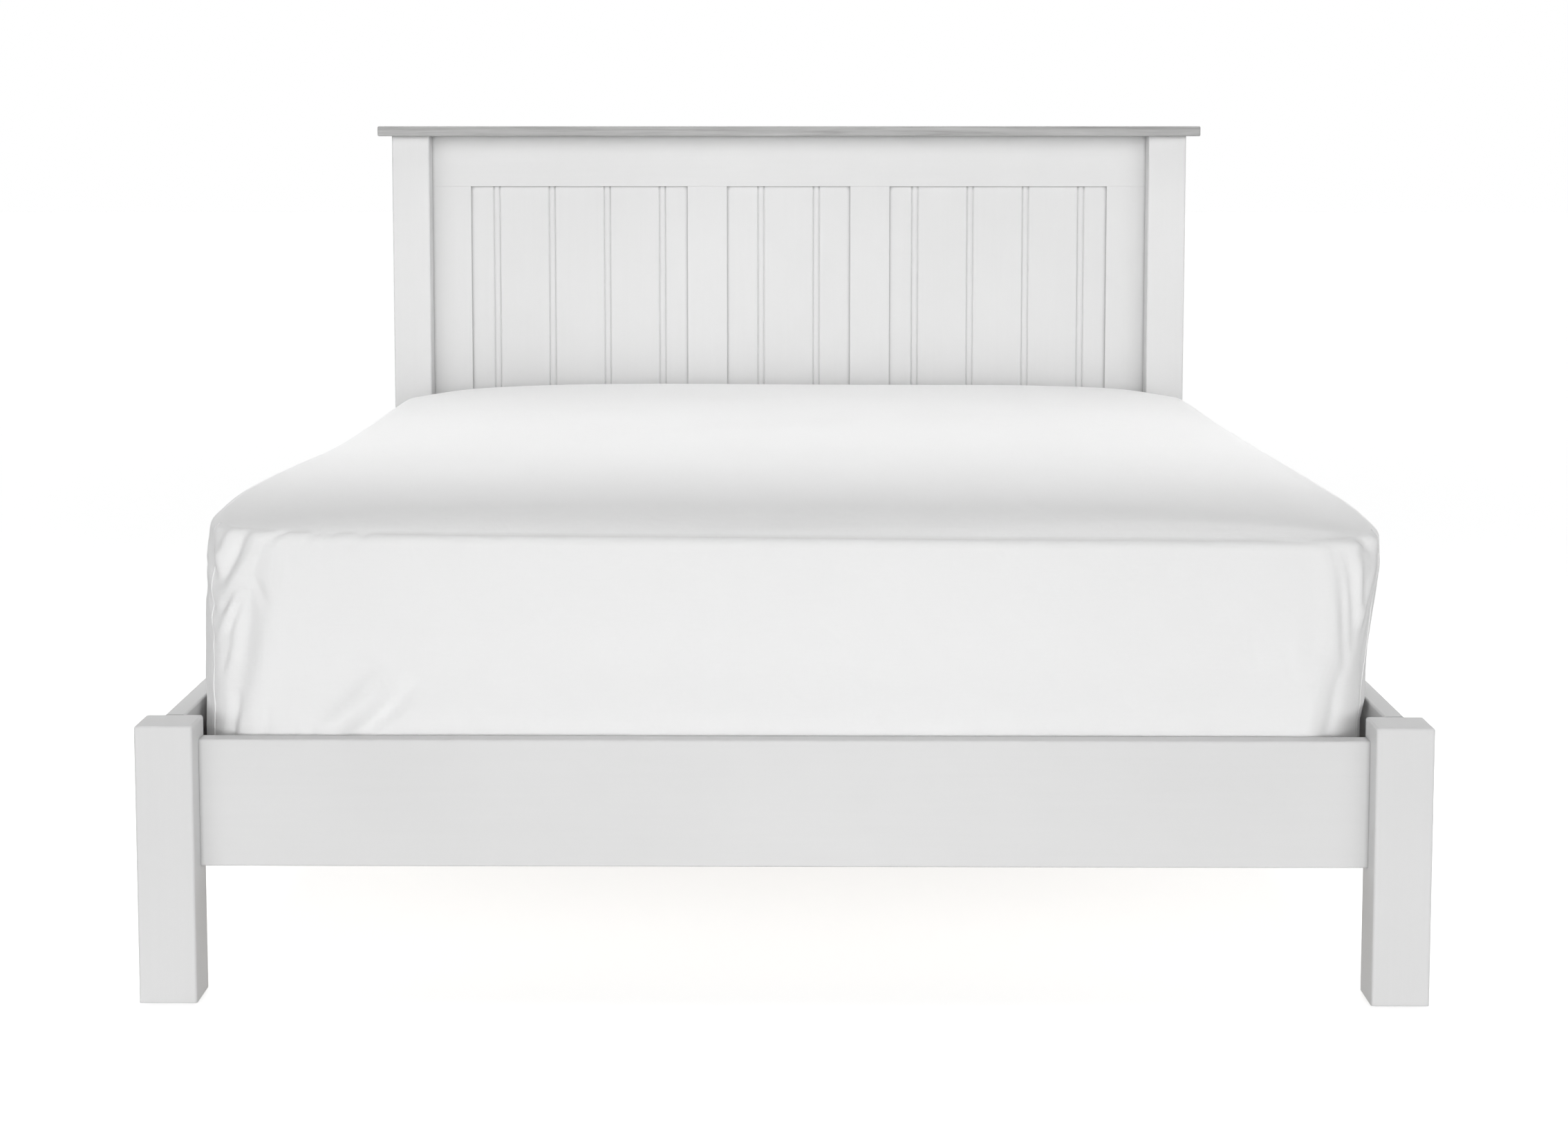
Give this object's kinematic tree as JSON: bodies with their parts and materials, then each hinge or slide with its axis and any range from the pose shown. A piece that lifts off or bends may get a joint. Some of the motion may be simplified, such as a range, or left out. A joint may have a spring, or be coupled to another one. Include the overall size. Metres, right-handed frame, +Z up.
{
  "type": "panel bed",
  "caption": "Panel bed with a beaded board headboard, square posts, low foot rail, side rails, slat base and a deep mattress in a fitted sheet.",
  "frame": {"origin": "on the floor, under the middle of the bed's outline", "axes": "+X to the right seen from the foot end, +Y from the foot end to the headboard, +Z up"},
  "size_m": [1.67, 2.16, 1.105],
  "materials": {
    "painted_wood": "white satin paint over wood",
    "cap_wood": "grey-washed open grain",
    "bare_pine": "planed, unfinished",
    "beech": "turned, unfinished",
    "zinc_steel": "bright zinc plate",
    "glide_plastic": "moulded",
    "mattress_cover": "quilted knit",
    "sheet_cotton": "plain weave cotton"
  },
  "bodies": {
    "bed_frame": {"beam_bracket_foot": "zinc_steel", "beam_bracket_head": "zinc_steel", "bolt_nuts": "zinc_steel", "bolt_washers": "zinc_steel", "bracket_screws": "zinc_steel", "centre_beam": "bare_pine", "centre_leg_foot": "bare_pine", "centre_leg_head": "bare_pine", "dowels": "beech", "foot_post_left": "painted_wood", "foot_post_right": "painted_wood", "foot_rail": "painted_wood", "hanger_bolts": "zinc_steel", "head_post_left": "painted_wood", "head_post_right": "painted_wood", "headboard_bottom_rail": "painted_wood", "headboard_cap": "cap_wood", "headboard_muntin_left": "painted_wood", "headboard_muntin_right": "painted_wood", "headboard_stile_left": "painted_wood", "headboard_stile_right": "painted_wood", "headboard_top_rail": "painted_wood", "ledge_screws": "zinc_steel", "leg_glides": "glide_plastic", "panel_board_centre_1": "painted_wood", "panel_board_centre_2": "painted_wood", "panel_board_centre_3": "painted_wood", "panel_board_left_1": "painted_wood", "panel_board_left_2": "painted_wood", "panel_board_left_3": "painted_wood", "panel_board_left_4": "painted_wood", "panel_board_left_5": "painted_wood", "panel_board_right_1": "painted_wood", "panel_board_right_2": "painted_wood", "panel_board_right_3": "painted_wood", "panel_board_right_4": "painted_wood", "panel_board_right_5": "painted_wood", "post_glides": "glide_plastic", "side_rail_left": "painted_wood", "side_rail_right": "painted_wood", "slat_01": "bare_pine", "slat_02": "bare_pine", "slat_03": "bare_pine", "slat_04": "bare_pine", "slat_05": "bare_pine", "slat_06": "bare_pine", "slat_07": "bare_pine", "slat_08": "bare_pine", "slat_09": "bare_pine", "slat_10": "bare_pine", "slat_11": "bare_pine", "slat_12": "bare_pine", "slat_13": "bare_pine", "slat_ledge_left": "bare_pine", "slat_ledge_right": "bare_pine", "slat_screws": "zinc_steel"},
    "mattress": {"mattress": "mattress_cover", "fitted_sheet": "sheet_cotton"}
  },
  "joints": [
    {"name": "mattress_lift", "type": "slide", "parent": "bed_frame", "child": "mattress", "axis": [0, 0, 1], "range_m": [0, 0.35]}
  ]
}
